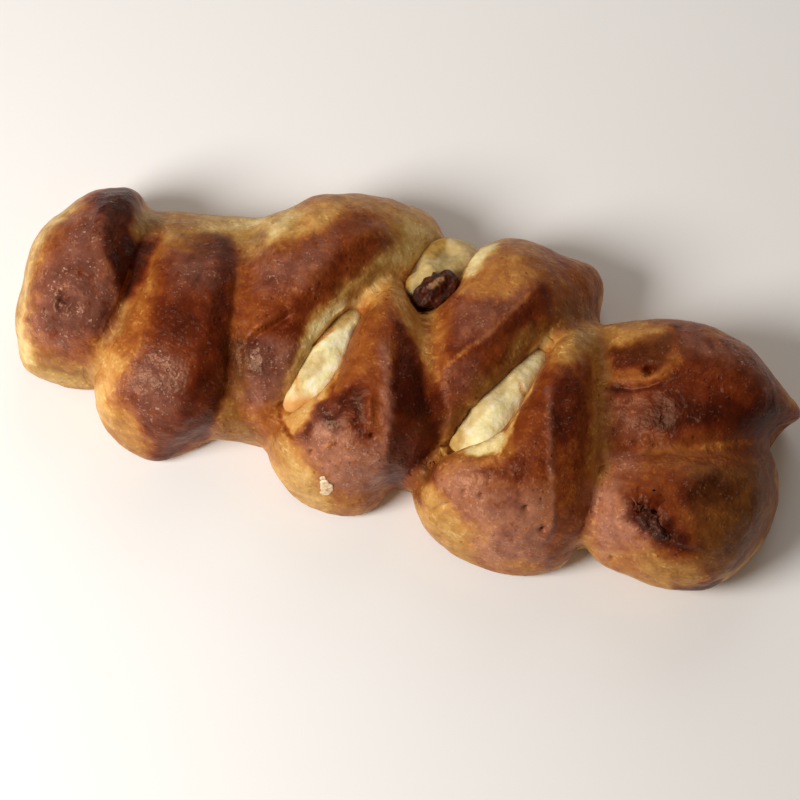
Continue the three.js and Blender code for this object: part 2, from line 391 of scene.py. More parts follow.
# The dough. Areas and lines are in pixels of the photograph; widths and lifts of ridges are in millimetres.
dough = {
    "voxel": 0.78 * mm,
    "softenings": 2,
    "fineReach": 7,  # the mesh is finer within so many pixels of a narrow fold or hole
    "fineWidth": 2.5,  # folds up to so many millimetres wide are narrow
    "roundings": 60,
    "crease": math.radians(13),
    "crisping": 0.25,  # how far the folds are sharpened
    "crispSoftenings": 22,
    "thinning": 0.9,  # share of the underside's faces that goes
    "downFacing": -0.6,  # the underside is where the surface points down past this
    "lowest": 1.5 * mm,  # or lies lower than this
    "reliefFacing": (0.05, 0.45),  # lines and holes fade out where the surface turns from the camera
    "reliefHeight": (4 * mm, 9 * mm),  # and towards the table
    "lumpHeight": (1 * mm, 4 * mm),  # as the lumps do
    "pulls": {  # where the outline moves: at, reach, and how far right and down
        "endLobeTop": ((110, 190), 22, (3, 2)),
        "endLobeShoulder": ((70, 208), 22, (2, 4)),
        "endLobeSide": ((24, 275), 30, (4, 0)),
        "endLobeHeel": ((30, 370), 22, (-6, 5)),
        "junction": ((151, 203), 14, (-3, 8)),
        "farEdge": ((240, 218), 26, (0, -6)),
        "thirdShoulder": ((290, 206), 22, (1, 6)),
        "thirdFar": ((424, 222), 28, (5, -6)),
        "fifthFar": ((510, 242), 30, (0, -2)),
        "fifthCorner": ((592, 270), 24, (13, -9)),
        "fifthTip": ((606, 286), 10, (7, 1)),
        "fifthUnder": ((602, 314), 12, (-4, 0)),
        "farBack": ((640, 318), 24, (0, 3)),
        "farSide": ((770, 372), 30, (0, 2)),
        "farTip": ((797, 416), 14, (7, 0)),
        "farTipUnder": ((784, 436), 16, (-5, -7)),
        "nearSide": ((774, 505), 26, (3, 0)),
        "nearFoot": ((650, 584), 34, (0, 4)),
        "nearFootRight": ((700, 590), 24, (0, 1)),
        "sixthHeel": ((424, 518), 24, (-3, 2)),
        "sixthFoot": ((484, 566), 24, (0, -1)),
        "nearNotch": ((581, 558), 12, (0, -9)),
        "fourthFootRight": ((396, 502), 22, (-5, -13)),
        "fourthHeel": ((278, 468), 24, (3, -1)),
        "thirdFoot": ((250, 448), 22, (0, -9)),
        "secondNotch": ((206, 448), 18, (0, -9)),
        "secondFoot": ((182, 458), 16, (-3, -6)),
    },
    "lumps": [(14, 0.45, 1), (5.5, 0.3, 2), (2.6, 0.14, 3)],  # size, height and seed of the crust's unevenness
    "ridges": {  # line, width and rise
        "endLobeCrest": ([(118, 196), (104, 215), (98, 242), (106, 272), (118, 298)], 5, 1.2),
        "endLobeDent": ([(58, 301), (63, 294), (69, 291)], 2.4, -1.3),
        "endLobeDentLow": ([(56, 309), (62, 305), (66, 299)], 2.2, -1.2),
        "endLobeDentRim": ([(64, 311), (71, 304), (74, 296)], 2.4, 0.5),
        "secondCrest": ([(222, 240), (216, 268), (210, 295), (203, 335)], 4, 0.5),
        "secondLowCrest": ([(203, 335), (192, 372), (182, 405), (178, 432)], 4, 0.4),
        "secondLeftEdge": ([(158, 250), (150, 325), (124, 380), (112, 422)], 2.4, 0.6),
        "thirdFold": ([(246, 344), (258, 334), (274, 325), (292, 314)], 2.2, -1.3),
        "thirdFoldEdge": ([(250, 332), (266, 321), (286, 308)], 2.5, 0.5),
        "thirdCrest": ([(395, 228), (352, 240), (322, 268), (292, 296)], 5, 0.8),
        "fourthLip": ([(355, 306), (348, 330), (341, 356), (335, 378), (318, 401), (306, 420)], 2.6, 0.9),
        "fourthFold": ([(381, 338), (388, 368), (386, 396), (388, 428), (386, 460)], 3.2, 0.7),
        "fourthFoldSide": ([(396, 330), (401, 358), (399, 392)], 3, -0.5),
        "fourthWrinkleA": ([(338, 376), (326, 398), (320, 412)], 2, -0.5),
        "fourthWrinkleB": ([(350, 382), (340, 404), (334, 416)], 2, -0.6),
        "fourthWrinkleC": ([(360, 380), (357, 410), (363, 438)], 4, -0.4),
        "fourthWrinkleD": ([(370, 396), (371, 420)], 1.6, 0.8),
        "sixthLipLow": ([(466, 455), (484, 452), (498, 445)], 6, -1.3),
        "fifthLowEdge": ([(446, 434), (456, 420), (466, 408)], 9, 1.0),
        "thirdLowEdge": ([(284, 392), (292, 372), (300, 356), (312, 342)], 8, 1.3),
        "fourthCorner": ([(292, 436), (304, 430), (312, 424)], 2.2, 0.9),
        "fourthCornerFold": ([(281, 402), (281, 420), (287, 434), (304, 442)], 1.6, -0.8),
        "fifthEdge": ([(548, 284), (532, 292), (505, 318), (485, 338), (465, 351), (448, 366)], 3.2, 0.35),
        "fifthHollow": ([(540, 305), (508, 335), (482, 353)], 4, -0.3),
        "fifthSecondEdge": ([(478, 322), (458, 342)], 2, 0.4),
        "sixthLip": ([(551, 336), (538, 352), (532, 385), (512, 428), (498, 453), (476, 462), (454, 462)], 2.6, 0.7),
        "sixthFold": ([(549, 388), (549, 430), (550, 462), (552, 520), (544, 546)], 2.0, 0.5),
        "sixthFoldSide": ([(566, 378), (563, 412), (561, 440)], 4, -0.6),
        "sixthTear": ([(452, 502), (441, 507), (432, 512)], 1.6, -0.8),
        "sixthLowTear": ([(474, 546), (460, 544)], 1.4, -0.8),
        "farPitRim": ([(608, 378), (628, 377), (645, 380), (660, 374), (672, 362), (677, 350)], 2.2, 0.6),
        "farFold": ([(603, 398), (618, 399), (630, 398)], 2.2, 0.4),
        "farFoldUnder": ([(603, 387), (632, 389), (664, 382), (690, 372)], 2.0, -0.8),
        "farWrinkleA": ([(622, 402), (632, 396)], 1.4, 0.4),
        "farWrinkleB": ([(606, 420), (622, 408)], 1.4, 0.4),
        "farBlister": ([(642, 440), (650, 438)], 2.2, 0.7),
        "farBlisterB": ([(630, 443), (632, 440)], 1.5, 0.6),
        "farTopFold": ([(672, 324), (676, 338), (681, 350)], 1.8, 0.4),
        "nearLump": ([(610, 484), (616, 480)], 3, 0.7),
        "nearCrease": ([(664, 541), (686, 550), (704, 553)], 2.4, -0.7),
        "nearBed": ([(626, 498), (646, 517), (668, 538)], 10, 3.2),
        "nearHollow": ([(692, 494), (726, 500)], 6, -0.5),
        "creaseEndSecond": ([(160, 240), (150, 266), (139, 290), (124, 309), (107, 345), (95, 374), (91, 390)],
            3, -0.7),
        "creaseSecondThird": ([(238, 246), (235, 300), (230, 345), (226, 385), (216, 420), (208, 442)], 3, -0.5),
        "creaseThirdFourth": ([(284, 396), (278, 420), (272, 440), (266, 452)], 3, -0.5),
        "creaseApex": ([(350, 305), (362, 291), (376, 277), (392, 271), (408, 277)], 3, -0.5),
        "creaseRaisin": ([(405, 284), (411, 301), (424, 316)], 2.6, -0.6),
        "creaseFourthFifth": ([(425, 318), (432, 345), (438, 382), (446, 408), (440, 440), (426, 474), (414, 492)],
            3, -0.4),
        "creaseFifthSixth": ([(548, 331), (562, 325), (580, 322), (600, 318)], 3, -0.6),
        "creaseSixthEnds": ([(599, 326), (600, 380), (601, 440), (597, 470), (590, 510), (583, 552)], 3, -0.4),
        "creaseEnds": ([(604, 449), (650, 450), (700, 449), (740, 443), (770, 441)], 3, -0.6),
    },
    "pinholes": [(372, 436), (311, 453), (481, 496), (464, 492), (526, 508), (543, 530), (612, 560)],
    "pinhole": (1.0, -1.4),  # radius and rise
    "pit": ((648, 369), 1.6, -3.0),
    "softSpots": [((362, 298), 15), ((352, 312), 8), ((424, 484), 14), ((562, 326), 12), ((282, 410), 8),
        ((665, 414), 12)],  # pixel and reach in pixels
    "spotSoftenings": 60,
    "sides": [(0, 0.6), (2.5, 0.42), (7, 0.26), (18, 0.36), (30, 0.55)],  # browning by height, where none is painted
    "paintFacing": 0.3,  # the paint fades out where the surface turns from the camera
    "softness": 2.1,  # of the painted areas' edges
    "fineFeather": 4,  # an edge softer than this wanders more
    "wander": {  # reach, size and seed of how an edge wanders
        "fine": (0.9 * mm, 2.4 * mm, 41),
        "line": (0.35 * mm, 2.4 * mm, 41),
        "broad": (2.0 * mm, 8 * mm, 31),
    },
    "unevenTone": [(6, 5, 0.08), (2.2, 6, 0.06)],  # size, seed and weight
    "browning": {  # outline, softness of its edge, and how brown, painted in turn; dark areas in grooves, hollows and on flanks turned from the light are partly painted shade
        "endLobe": ([(20, 300), (40, 235), (90, 198), (140, 190), (150, 240), (120, 310), (92, 388), (40, 382)],
            6, 0.52),
        "secondAll": ([(160, 216), (236, 236), (238, 300), (228, 400), (206, 440), (160, 464), (120, 450), (124, 380),
            (150, 320)], 4, 0.6),
        "thirdAll": ([(240, 250), (300, 205), (400, 205), (400, 250), (300, 340), (284, 400), (240, 430), (226, 400)],
            4, 0.62),
        "fourthAll": ([(352, 312), (392, 277), (412, 290), (436, 380), (430, 450), (400, 496), (330, 505), (290, 440),
            (300, 400), (338, 380)], 4, 0.7),
        "fifthAll": ([(425, 312), (500, 242), (560, 250), (604, 284), (596, 322), (552, 334), (500, 390), (440, 460)],
            4, 0.7),
        "sixthAll": ([(550, 338), (600, 322), (600, 440), (588, 548), (552, 570), (470, 560), (430, 500), (452, 462),
            (500, 452)], 4, 0.62),
        "farAll": ([(598, 324), (680, 322), (760, 356), (800, 418), (768, 446), (700, 448), (602, 448)], 4, 0.8),
        "nearAll": ([(600, 452), (700, 450), (770, 444), (778, 510), (740, 570), (700, 580), (640, 560), (586, 548)],
            4, 0.68),
        "endLobeOrange": ([(48, 240), (62, 222), (84, 216), (84, 250), (72, 262), (52, 262)], 6, 0.74),
        "endLobeMiddle": ([(84, 214), (94, 204), (104, 222), (106, 262), (119, 290), (114, 308), (102, 330),
            (88, 343), (60, 346), (40, 336), (31, 318), (36, 284), (52, 264), (76, 258)], 6, 0.82),
        "endLobeLow": ([(52, 344), (88, 342), (86, 356), (60, 356)], 5, 0.7),
        "endLobeDent": ([(55, 304), (61, 296), (69, 300), (62, 310)], 4, 1.0),
        "endLobeTop": ([(88, 198), (112, 188), (138, 186), (142, 198), (128, 214), (122, 244), (106, 250),
            (102, 222)], 4, 0.98),
        # dark flank and valley beside the end lobe: deep browning and partly painted shade
        "endLobeFlank": ([(141, 190), (144, 202), (134, 218), (128, 238), (158, 241), (150, 262), (141, 284),
            (130, 301), (121, 296), (116, 278), (107, 256), (110, 240), (118, 232), (122, 212), (132, 204)], 3, 1.0),
        "endLobeRim": ([(16, 340), (22, 290), (30, 245), (48, 218), (80, 198), (70, 212), (46, 232), (34, 260),
            (27, 300), (25, 335), (34, 362), (26, 372)], 3, 0.12),
        "endLobeFoot": ([(24, 366), (40, 366), (90, 376), (94, 392), (40, 386)], 4, 0.34),
        "junction": ([(140, 204), (162, 214), (166, 232), (148, 240), (132, 238), (136, 220)], 4, 0.54),
        "secondFar": ([(158, 214), (262, 214), (262, 232), (236, 242), (200, 240), (166, 250)], 4, 0.4),
        "secondFarSpots": ([(168, 228), (188, 226), (206, 236), (180, 246)], 5, 0.54),
        "secondFlank": ([(160, 246), (154, 275), (151, 318), (142, 346), (130, 360), (121, 386), (110, 430),
            (100, 410), (92, 386), (92, 364), (106, 344), (122, 326), (130, 306), (142, 286), (150, 262)], 3, 0.53),
        "secondFlankPale": ([(92, 364), (108, 352), (124, 356), (120, 384), (110, 410), (100, 408), (94, 390)],
            4, 0.32),
        "secondMiddle": ([(164, 250), (184, 246), (204, 238), (232, 238), (228, 300), (222, 385), (206, 436),
            (176, 458), (158, 458), (142, 440), (130, 414), (118, 402), (123, 380), (131, 360), (144, 347),
            (151, 320), (156, 285)], 6, 0.82),
        "secondMottle": ([(158, 300), (180, 296), (204, 306), (202, 348), (180, 344), (160, 336)], 6, 0.92),
        # dark right flank of the second strand: deep browning and partly painted shade
        "secondDark": ([(204, 292), (216, 268), (228, 242), (240, 262), (238, 300), (234, 340), (228, 362),
            (214, 396), (200, 416), (188, 442), (176, 448), (182, 424), (190, 400), (200, 384), (206, 356),
            (204, 322)], 8, 0.92),
        "secondLowFlank": ([(228, 362), (222, 388), (210, 436), (192, 442), (200, 420), (216, 396)], 4, 0.9),
        "secondFoot": ([(108, 414), (126, 410), (140, 428), (154, 450), (150, 464), (124, 452), (104, 436)], 4, 0.42),
        "secondFootDark": ([(152, 440), (176, 440), (176, 462), (156, 464)], 4, 0.82),
        # dark groove between the second and third strands: partly painted shade
        "groove": ([(229, 345), (241, 343), (244, 362), (240, 392), (230, 400), (228, 372)], 3, 0.84),
        "grooveLow": ([(214, 424), (228, 412), (262, 420), (272, 444), (212, 444)], 4, 0.58),
        "thirdFarPale": ([(206, 216), (262, 217), (300, 206), (306, 216), (292, 236), (268, 248), (252, 252),
            (242, 240), (210, 232)], 4, 0.2),
        "thirdGold": ([(300, 206), (324, 198), (348, 202), (340, 220), (318, 230), (298, 240), (292, 236)], 4, 0.32),
        "thirdFar": ([(346, 196), (396, 202), (410, 212), (396, 224), (366, 214), (346, 216)], 5, 0.32),
        "thirdMiddle": ([(252, 264), (276, 250), (300, 246), (322, 230), (346, 214), (372, 214), (390, 228),
            (396, 244), (384, 258), (362, 274), (346, 284), (334, 298), (314, 306), (300, 326), (300, 340),
            (280, 338), (256, 334), (250, 300)], 4, 0.74),
        # dark band on the third strand's right flank: partly painted shade
        "thirdDarkA": ([(326, 262), (338, 246), (352, 248), (350, 272), (330, 290), (322, 284)], 4, 0.82),
        "thirdDarkB": ([(296, 298), (316, 288), (322, 300), (304, 318), (292, 338), (276, 336), (274, 322)], 4, 0.86),
        "thirdDarkC": ([(264, 278), (272, 274), (274, 284), (266, 286)], 3, 0.9),
        "thirdStreak": ([(239, 274), (252, 268), (257, 296), (256, 322), (248, 338), (238, 338), (236, 300)], 4, 0.7),
        "thirdLobe": ([(250, 346), (266, 336), (288, 340), (300, 350), (296, 370), (286, 388), (276, 404), (258, 412),
            (243, 404), (242, 370)], 4, 0.74),
        "thirdFlank": ([(404, 214), (430, 228), (448, 250), (420, 258), (410, 268), (390, 268), (372, 278),
            (350, 302), (334, 308), (318, 322), (310, 342), (302, 366), (288, 392), (276, 404), (286, 386),
            (297, 362), (302, 336), (314, 314), (334, 300), (350, 286), (366, 274), (386, 258), (398, 240)], 4, 0.22),
        "cleftSide": ([(306, 340), (312, 322), (332, 306), (352, 302), (350, 316), (330, 326), (318, 344),
            (306, 362)], 2, 0.0),
        "fourthApex": ([(352, 312), (364, 297), (378, 284), (392, 277), (406, 282), (412, 300), (422, 318),
            (430, 330), (436, 376), (424, 360), (412, 336), (400, 318), (384, 306), (372, 312)], 3, 0.34),
        "fourthLeft": ([(351, 314), (372, 306), (386, 306), (384, 336), (376, 360), (362, 376), (348, 382),
            (338, 392), (330, 392), (342, 364), (348, 336)], 3, 0.64),
        "fourthStreaks": ([(388, 300), (400, 312), (402, 336), (392, 350), (388, 400), (388, 440), (370, 440),
            (350, 420), (336, 412), (324, 406), (338, 394), (352, 382), (372, 362), (382, 338)], 4, 0.7),
        # the fourth strand's hollows, A and B: painted shade in the hollows
        "fourthHollowA": ([(312, 404), (322, 396), (346, 394), (343, 410), (330, 413), (323, 424)], 4, 0.97),
        "fourthHollowB": ([(343, 386), (364, 382), (368, 410), (367, 440), (361, 442), (352, 424), (342, 408)],
            5, 0.97),
        # dark right flank of the fourth strand: deep browning and partly painted shade
        "fourthDark": ([(393, 320), (404, 332), (414, 350), (422, 372), (427, 396), (424, 416), (410, 427),
            (400, 426), (392, 410), (394, 380), (397, 350)], 3, 1.0),
        "fourthLowFlank": ([(392, 424), (424, 414), (436, 430), (424, 458), (410, 476), (398, 494), (386, 490),
            (385, 452)], 3, 0.9),
        "fourthLow": ([(302, 442), (316, 414), (330, 408), (346, 420), (362, 438), (386, 438), (386, 488), (340, 494),
            (320, 484), (312, 462)], 4, 0.65),
        "cleftEdge": ([(300, 350), (308, 322), (332, 302), (352, 300), (352, 322), (330, 330), (318, 350), (306, 372),
            (290, 398), (284, 396)], 1.5, 0.28),
        "fourthFoot": ([(270, 436), (286, 442), (302, 448), (313, 464), (322, 486), (326, 500), (344, 516),
            (300, 508), (282, 476)], 4, 0.28),
        "fourthFootRight": ([(330, 494), (386, 488), (400, 492), (384, 514), (344, 518)], 4, 0.5),
        "fourthLipFace": ([(289, 398), (306, 391), (322, 388), (334, 382), (326, 398), (314, 414), (304, 426),
            (292, 436), (284, 430), (284, 410)], 2, 0.24),
        "fourthCorner": ([(300, 438), (306, 428), (320, 408), (326, 412), (314, 430), (306, 440)], 2.5, 0.84),
        # painted shade in the groove between the fourth and fifth strands
        "grooveDark": ([(428, 396), (440, 386), (452, 402), (448, 428), (436, 452), (422, 466), (428, 430)], 4, 0.96),
        "fifthCorner": ([(545, 243), (562, 252), (588, 266), (604, 284), (600, 306), (592, 322), (572, 326),
            (553, 333), (546, 322), (552, 300), (542, 280)], 4, 0.6),
        "fifthGold": ([(452, 298), (464, 280), (480, 262), (496, 246), (520, 240), (536, 242), (546, 256), (540, 276),
            (526, 290), (510, 299), (480, 300)], 4, 0.44),
        "fifthLeft": ([(422, 318), (434, 308), (454, 298), (454, 330), (446, 356), (438, 370), (430, 352)], 3, 0.56),
        "fifthMiddle": ([(453, 302), (480, 298), (510, 298), (530, 290), (506, 320), (482, 344), (460, 350),
            (448, 346)], 4, 0.74),
        # dark flank below the fifth strand's edge: partly painted shade
        "fifthDark": ([(530, 294), (546, 284), (550, 300), (536, 320), (516, 336), (498, 346), (480, 354), (466, 352),
            (490, 338), (510, 318)], 3, 0.82),
        "fifthLow": ([(446, 372), (460, 356), (480, 354), (502, 348), (506, 360), (492, 376), (472, 392), (456, 400),
            (446, 388)], 4, 0.8),
        "fifthFlank": ([(518, 336), (544, 320), (553, 334), (536, 346), (524, 366), (512, 386), (498, 394),
            (478, 400), (462, 416), (452, 446), (440, 458), (424, 488), (418, 480), (434, 450), (448, 424),
            (452, 404), (474, 392), (500, 368)], 3, 0.54),
        "sixthApex": ([(548, 338), (576, 326), (600, 322), (600, 352), (590, 362), (572, 366), (554, 366),
            (545, 354)], 4, 0.36),
        "sixthUpper": ([(546, 362), (558, 380), (553, 420), (550, 470), (546, 486), (516, 486), (498, 468),
            (508, 440), (518, 410), (530, 392), (538, 368)], 3, 0.76),
        "sixthFlank": ([(556, 366), (586, 362), (599, 360), (597, 400), (594, 450), (590, 500), (582, 534),
            (570, 554), (554, 568), (550, 550), (554, 500), (551, 460), (552, 400)], 3, 0.7),
        # dark flank right of the sixth strand's apex: deep browning and partly painted shade
        "sixthDark": ([(554, 376), (570, 370), (578, 384), (581, 404), (575, 430), (566, 446), (556, 442),
            (551, 420)], 3, 0.94),
        "sixthEdge": ([(590, 340), (600, 340), (602, 400), (600, 460), (594, 500), (590, 470), (594, 400)], 3, 0.4),
        "sixthInner": ([(500, 466), (514, 448), (530, 452), (534, 474), (510, 482), (480, 474), (456, 468),
            (456, 462)], 3, 0.84),
        "sixthLipBand": ([(452, 454), (478, 458), (500, 450), (512, 436), (517, 446), (503, 463), (478, 470),
            (452, 467)], 2.5, 0.55),
        "sixthLeft": ([(436, 476), (458, 466), (480, 474), (502, 486), (502, 520), (470, 526), (446, 506)], 4, 0.58),
        "sixthFoot": ([(416, 486), (434, 480), (448, 506), (470, 526), (484, 546), (476, 566), (440, 548),
            (422, 520)], 4, 0.34),
        "sixthMiddle": ([(502, 486), (548, 482), (551, 530), (544, 562), (500, 564), (482, 546), (476, 528),
            (502, 518)], 4, 0.64),
        "sixthRim": ([(480, 556), (552, 562), (560, 578), (520, 580), (478, 570)], 4, 0.48),
        "sixthLowRight": ([(552, 540), (572, 540), (588, 530), (590, 560), (560, 576)], 4, 0.34),
        "farGold": ([(600, 326), (640, 320), (664, 323), (670, 336), (656, 343), (636, 345), (612, 351), (600, 346)],
            4, 0.44),
        "farMiddle": ([(616, 346), (640, 345), (672, 338), (700, 346), (726, 358), (752, 376), (768, 402), (740, 402),
            (700, 396), (660, 392), (640, 384), (616, 374)], 4, 0.87),
        # painted shade in the hollow above the rim
        "farHollow": ([(610, 352), (640, 346), (668, 346), (670, 356), (656, 366), (636, 365), (612, 370)], 3, 0.94),
        # the pit painted black: painted shade in the hole
        "farPit": ([(643, 367), (649, 364), (655, 368), (650, 373), (643, 372)], 1.5, 1.0),
        "farBand": ([(672, 322), (702, 326), (742, 344), (766, 368), (786, 394), (800, 420), (786, 426), (772, 414),
            (764, 392), (744, 368), (714, 350), (688, 342)], 4, 0.76),
        "farRim": ([(603, 372), (630, 367), (648, 374), (660, 369), (668, 360), (671, 351), (681, 350), (678, 366),
            (664, 379), (646, 384), (616, 383), (602, 381)], 2.5, 0.6),
        # dark lower flank of the far end towards the groove: deep browning and partly painted shade
        "farDark": ([(664, 394), (700, 396), (750, 402), (772, 396), (782, 416), (766, 430), (740, 431), (700, 433),
            (664, 431), (652, 414)], 6, 1.0),
        "farLeft": ([(602, 394), (644, 392), (650, 410), (653, 430), (646, 446), (612, 446), (600, 430)], 4, 0.76),
        # painted shade under the fold
        "farFoldDark": ([(604, 385), (640, 388), (666, 380), (668, 386), (640, 393), (604, 391)], 2, 0.94),
        "endGroove": ([(602, 446), (650, 440), (700, 446), (742, 438), (768, 440), (770, 452), (740, 458), (700, 454),
            (650, 457), (612, 457)], 3, 0.74),
        "nearLeft": ([(600, 482), (620, 472), (626, 490), (622, 512), (636, 532), (658, 548), (640, 558), (608, 552),
            (588, 540), (588, 510)], 4, 0.57),
        "nearUpper": ([(601, 457), (642, 456), (662, 470), (650, 486), (624, 492), (606, 482)], 4, 0.7),
        "nearMiddle": ([(652, 460), (700, 456), (742, 458), (772, 462), (778, 500), (770, 530), (742, 556),
            (700, 560), (680, 524), (656, 492)], 4, 0.75),
        # painted shade in the soft hollow of the near lobe
        "nearDark": ([(688, 482), (718, 474), (740, 490), (736, 506), (700, 511), (680, 500)], 5, 0.98),
        # dark bed round the crust raisin: dark crust, and painted shade along the crease below it
        "nearRaisinBed": ([(622, 494), (645, 498), (670, 514), (690, 542), (706, 550), (682, 554), (660, 547),
            (640, 532), (624, 516)], 3, 0.96),
        "nearFoot": ([(584, 548), (612, 555), (652, 556), (692, 562), (702, 576), (682, 588), (650, 584), (600, 566)],
            4, 0.46),
        "nearEdge": ([(762, 506), (774, 496), (774, 530), (764, 540)], 4, 0.6),
        "nearBurnt": ([(674, 587), (700, 585), (722, 578), (722, 586), (700, 594), (676, 595)], 1.5, 1.0),
        "secondFarEdge": ([(242, 232), (268, 230), (268, 252), (246, 254)], 5, 0.5),
        "thirdCrestPale": ([(376, 220), (400, 224), (404, 240), (386, 242)], 5, 0.5),
        "thirdLowDark": ([(238, 340), (270, 340), (268, 376), (240, 378)], 5, 0.92),
        "thirdFootDark": ([(258, 436), (280, 436), (282, 460), (262, 460)], 5, 0.5),
        "thirdCleftPale": ([(308, 344), (314, 326), (332, 308), (352, 300), (350, 314), (338, 324), (320, 342)],
            3, 0.04),
        # painted shade in the fourth strand's third hollow
        "fourthHollowC": ([(318, 408), (342, 410), (344, 424), (332, 431), (320, 424)], 4, 0.96),
        "fourthLowPale": ([(316, 456), (346, 456), (346, 482), (318, 480)], 6, 0.5),
        "fifthCleft": ([(412, 300), (432, 300), (436, 330), (424, 336)], 5, 0.28),
        "fifthFarPale": ([(464, 276), (470, 242), (500, 238), (496, 250), (484, 262), (474, 274)], 3, 0.06),
        "fifthCleftTop": ([(528, 352), (540, 338), (552, 330), (550, 342), (538, 356)], 2, 0.16),
        # painted shadow of the groove at the sixth strand's foot
        "sixthFootGrooveShadow": ([(404, 474), (418, 470), (424, 486), (424, 504), (406, 500)], 3, 0.72),
        "sixthShoulder": ([(420, 462), (438, 462), (440, 480), (424, 482)], 4, 0.84),
        "sixthInnerDark": ([(492, 486), (518, 486), (518, 510), (492, 510)], 6, 0.8),
        "sixthLowPale": ([(464, 524), (494, 524), (494, 552), (466, 552)], 6, 0.42),
        "sixthLowDark": ([(546, 530), (572, 530), (572, 556), (548, 556)], 5, 0.74),
        "sixthLipCream": ([(458, 453), (472, 447), (486, 440), (497, 432), (506, 430), (503, 444), (496, 453),
            (478, 456)], 1.2, 0.14),
        "farSeam": ([(592, 392), (600, 354), (611, 356), (610, 392), (612, 484), (594, 484)], 4, 0.42),
        "secondFootPale": ([(94, 392), (110, 390), (112, 418), (98, 416)], 5, 0.16),
        "thirdFootEdge": ([(256, 404), (280, 404), (280, 434), (260, 434)], 5, 0.62),
        "fourthApexDark": ([(402, 270), (420, 266), (426, 288), (410, 292)], 3, 0.62),
        "fifthLowDark": ([(440, 396), (464, 396), (460, 424), (444, 430)], 5, 0.86),
        "fifthMiddleDark": ([(448, 338), (476, 338), (474, 362), (452, 364)], 5, 0.9),
        "fifthRimPale": ([(462, 420), (474, 404), (492, 388), (508, 376), (504, 388), (490, 396), (478, 408),
            (470, 422)], 3, 0.34),
        "farMark": ([(636, 404), (664, 402), (668, 428), (640, 430)], 5, 0.95),
    },
    "browningAndShadeLines": {  # line, width in pixels, and how brown; the darkest crease line is painted shade
        "fourthRim": ([(353, 311), (363, 298), (377, 284), (390, 279)], 3, 0.26),
        "fourthCornerLine": ([(281, 402), (281, 420), (288, 435), (302, 441)], 2, 0.66),
        "fourthLipLine": ([(350, 320), (347, 336), (341, 358), (335, 378)], 2, 0.34),
        "endsLine": ([(599, 330), (602, 380), (604, 440), (600, 470), (594, 510), (587, 550)], 2.5, 0.42),
        "endGrooveLine": ([(640, 452), (700, 448), (742, 442), (766, 442)], 2.5, 0.62),
        "grooveLine": ([(424, 318), (431, 340), (433, 360), (438, 380)], 2.5, 0.55),
        "fifthLine": ([(532, 291), (506, 317), (485, 337), (465, 350), (446, 366), (438, 378)], 2, 0.62),
        "sixthLipLine": ([(551, 338), (540, 351), (536, 370), (530, 390), (517, 407), (511, 428), (500, 451)],
            2.5, 0.24),
        # painted shade in the crease beside the raisin
        "raisinCrease": ([(406, 286), (412, 302), (424, 315)], 2, 0.95),
    },
    "rosy": {  # painted sheen, a soft reflection of the sky on the glossy crust: outline, softness of its edge, and how much
        "endLobe": ([(84, 214), (100, 214), (106, 262), (119, 290), (102, 330), (60, 346), (32, 334), (30, 310),
            (52, 264)], 8, 1.0),
        "endLobeTop": ([(100, 192), (130, 187), (126, 200), (104, 232)], 5, 0.5),
        "secondUpper": ([(170, 256), (214, 250), (212, 288), (176, 288)], 8, 0.9),
        "secondLow": ([(122, 392), (130, 364), (150, 350), (176, 356), (184, 396), (164, 420), (138, 412)], 8, 1.0),
        "thirdTop": ([(258, 262), (300, 250), (330, 232), (330, 256), (300, 284), (262, 292)], 7, 0.8),
        "thirdLobe": ([(248, 350), (272, 336), (298, 352), (284, 392), (258, 412), (243, 400)], 6, 1.0),
        "fourthFold": ([(380, 342), (386, 342), (393, 400), (392, 446), (384, 446), (384, 400)], 3, 1.0),
        "fourthLow": ([(304, 440), (318, 412), (332, 408), (346, 422), (362, 440), (388, 438), (388, 484), (350, 494),
            (322, 480)], 6, 0.95),
        "fourthFlank": ([(388, 432), (420, 424), (424, 454), (396, 486), (388, 480)], 6, 0.4),
        "fifthTop": ([(456, 302), (500, 300), (524, 294), (484, 340), (456, 342)], 6, 0.6),
        "fifthLow": ([(450, 372), (480, 358), (480, 384), (456, 396)], 6, 0.6),
        "sixthRidge": ([(547, 386), (552, 386), (553, 470), (555, 530), (548, 548), (549, 480)], 2, 0.9),
        "sixthLeft": ([(440, 476), (460, 468), (484, 476), (504, 490), (520, 520), (480, 534), (450, 506)], 7, 0.9),
        "sixthLow": ([(500, 490), (548, 486), (548, 556), (490, 566), (476, 540)], 7, 0.85),
        "farBand": ([(684, 326), (740, 342), (768, 370), (800, 420), (776, 416), (756, 380), (716, 352), (684, 344)],
            5, 0.8),
        "farLeft": ([(602, 394), (640, 394), (650, 440), (604, 444)], 6, 0.3),
        "nearUpper": ([(602, 458), (640, 458), (630, 476), (604, 484)], 6, 0.6),
        "nearLeft": ([(592, 488), (622, 478), (624, 514), (656, 548), (600, 552), (588, 530)], 7, 1.0),
    },
    "alsoOlive": {  # browned areas that are olive too
        "fifthRimPale": 0.8,
        "sixthLipCream": 1.0,
        "thirdCleftPale": 1.0,
        "fifthFarPale": 0.9,
        "fifthCleftTop": 0.9,
    },
    "oliveBehind": 0.3,  # where the camera doesn't see
    "olive": {
        "endLobeFoot": ([(20, 350), (60, 362), (92, 366), (96, 394), (36, 394)], 5, 0.85),
        "endLobeRim": ([(12, 340), (18, 290), (28, 245), (48, 216), (76, 198), (72, 212), (46, 236), (35, 262),
            (29, 300), (28, 335), (40, 366), (26, 372)], 4, 0.8),
        "secondFoot": ([(100, 410), (120, 414), (140, 440), (150, 466), (110, 450)], 4, 0.35),
        "fourthFoot": ([(270, 430), (290, 446), (306, 470), (330, 500), (344, 520), (290, 510)], 4, 0.4),
